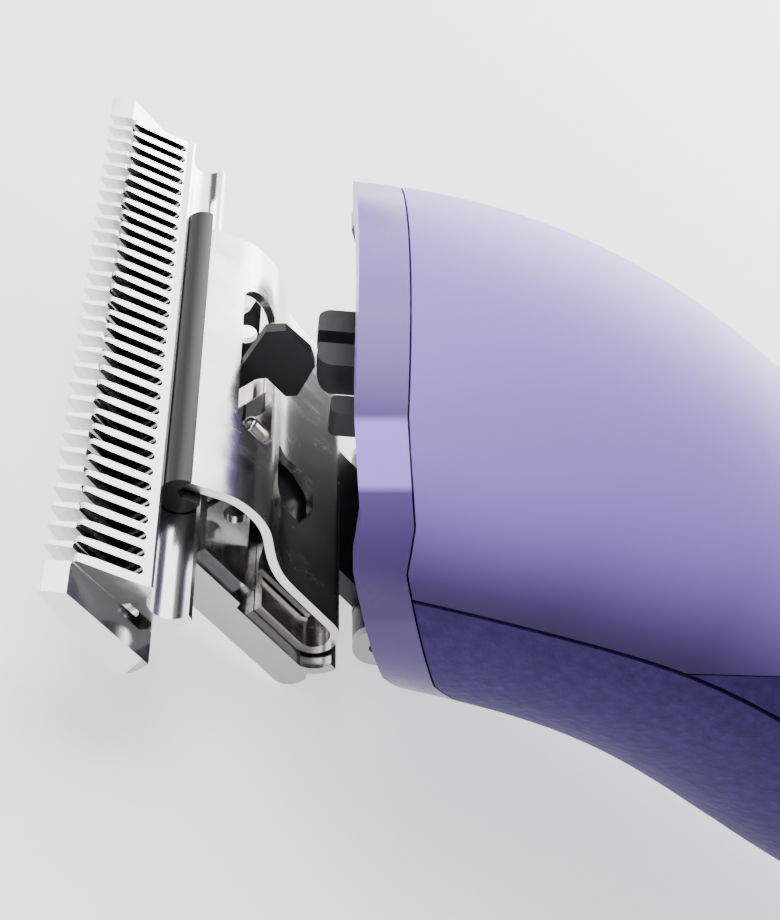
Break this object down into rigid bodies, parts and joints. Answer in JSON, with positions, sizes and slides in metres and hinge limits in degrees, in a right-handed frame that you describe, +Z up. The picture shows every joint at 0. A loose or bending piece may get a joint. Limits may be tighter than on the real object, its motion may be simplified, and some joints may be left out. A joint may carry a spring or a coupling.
{
  "type": "electric pet clipper",
  "caption": "Cordless pet grooming clipper with a bent two-shell handle, a hinged detachable blade set, and a motor-driven fork behind an oval nose bezel.",
  "frame": {"origin": "on the surface the clipper lies on, below the middle of its outline", "axes": "+X rearward along the handle, +Y to the side, +Z up; the clipper lies belly down on its comb heel and tail"},
  "size_m": [0.1716, 0.0494, 0.0296],
  "materials": {
    "hood_plastic": "satin, smooth lavender",
    "bezel_plastic": "polished",
    "grip_plastic": "fine leather grain",
    "tail_plastic": "fine grain",
    "blade_steel": "ground and polished",
    "cutter_steel": "ground and polished",
    "spring_steel": "polished sheet",
    "socket_steel": "polished sheet",
    "rivet_steel": "polished",
    "screw_steel": "satin",
    "glide_plastic": "dark grey moulded",
    "fork_plastic": "matte black",
    "tang_plastic": "matte charcoal",
    "black_oxide": "black oxide",
    "bush_plastic": "light grey",
    "dark_plastic": "moulded",
    "seal_rubber": "soft",
    "button_plastic": "satin",
    "ring_metal": "satin",
    "window_plastic": "frosted",
    "motor_steel": "zinc",
    "bearing_bronze": "sintered",
    "cell_wrap": "shrink wrap",
    "board_green": "solder mask"
  },
  "bodies": {
    "housing": {"nose_bezel": "bezel_plastic", "nose_hood": "hood_plastic", "handle_cover": "grip_plastic", "belly_shell": "grip_plastic", "tail_cap": "tail_plastic", "charge_socket": "dark_plastic", "light_window": "window_plastic", "button_ring": "ring_metal", "front_plate": "dark_plastic", "lever_seal": "seal_rubber", "blade_stop_lug": "fork_plastic", "hinge_bracket": "black_oxide", "hinge_bushes": "bush_plastic", "hinge_pin": "black_oxide", "motor_chassis": "dark_plastic", "motor_can": "motor_steel", "motor_end_bell": "dark_plastic", "front_bearing": "bearing_bronze", "lever_pivot_pin": "screw_steel", "battery_cell": "cell_wrap", "battery_sleeve": "seal_rubber", "circuit_board": "board_green", "power_switch": "dark_plastic", "housing_screws": "screw_steel"},
    "blade": {"hinge_tongue": "black_oxide", "comb": "blade_steel", "blade_socket": "socket_steel", "socket_guides": "socket_steel", "blade_screws": "screw_steel", "tension_spring": "spring_steel", "flange_rivet": "rivet_steel", "cutter_glide": "glide_plastic"},
    "cutter": {"cutter": "cutter_steel", "drive_tang": "tang_plastic", "tang_rivets": "rivet_steel"},
    "lever": {"drive_lever": "dark_plastic", "drive_fork": "fork_plastic"},
    "crank": {"crank_shaft": "screw_steel"},
    "button": {"power_button": "button_plastic"},
    "release": {"release_slider": "fork_plastic"}
  },
  "joints": [
    {"name": "blade_hinge", "type": "hinge", "parent": "housing", "child": "blade", "pos_m": [-0.0588, 0, 0.00303], "axis": [0, 1, 0], "range_deg": [-60, 14]},
    {"name": "cutter_slide", "type": "slide", "parent": "blade", "child": "cutter", "axis": [0, 1, 0], "range_m": [-0.00074, 0.00074]},
    {"name": "lever_swing", "type": "hinge", "parent": "housing", "child": "lever", "pos_m": [-0.06364, 0, 0.01981], "axis": [-0.5807, 0, 0.8141], "range_deg": [-4.5, 4.5]},
    {"name": "crank_spin", "type": "hinge", "parent": "housing", "child": "crank", "pos_m": [-0.04368, 0, 0.01673], "axis": [1, 0, 0], "continuous": true},
    {"name": "button_press", "type": "slide", "parent": "housing", "child": "button", "axis": [0, 0, -1], "range_m": [0, 0.0008], "stiffness_N_per_m": 800, "springref_m": -0.0004},
    {"name": "release_slide", "type": "slide", "parent": "housing", "child": "release", "axis": [0.8141, 0, 0.5807], "range_m": [0, 0.0012], "stiffness_N_per_m": 500, "springref_m": -0.0006}
  ],
  "couplings": [
    {"joint": "lever_swing", "follows": "cutter_slide", "rad_per_m": -105}
  ]
}
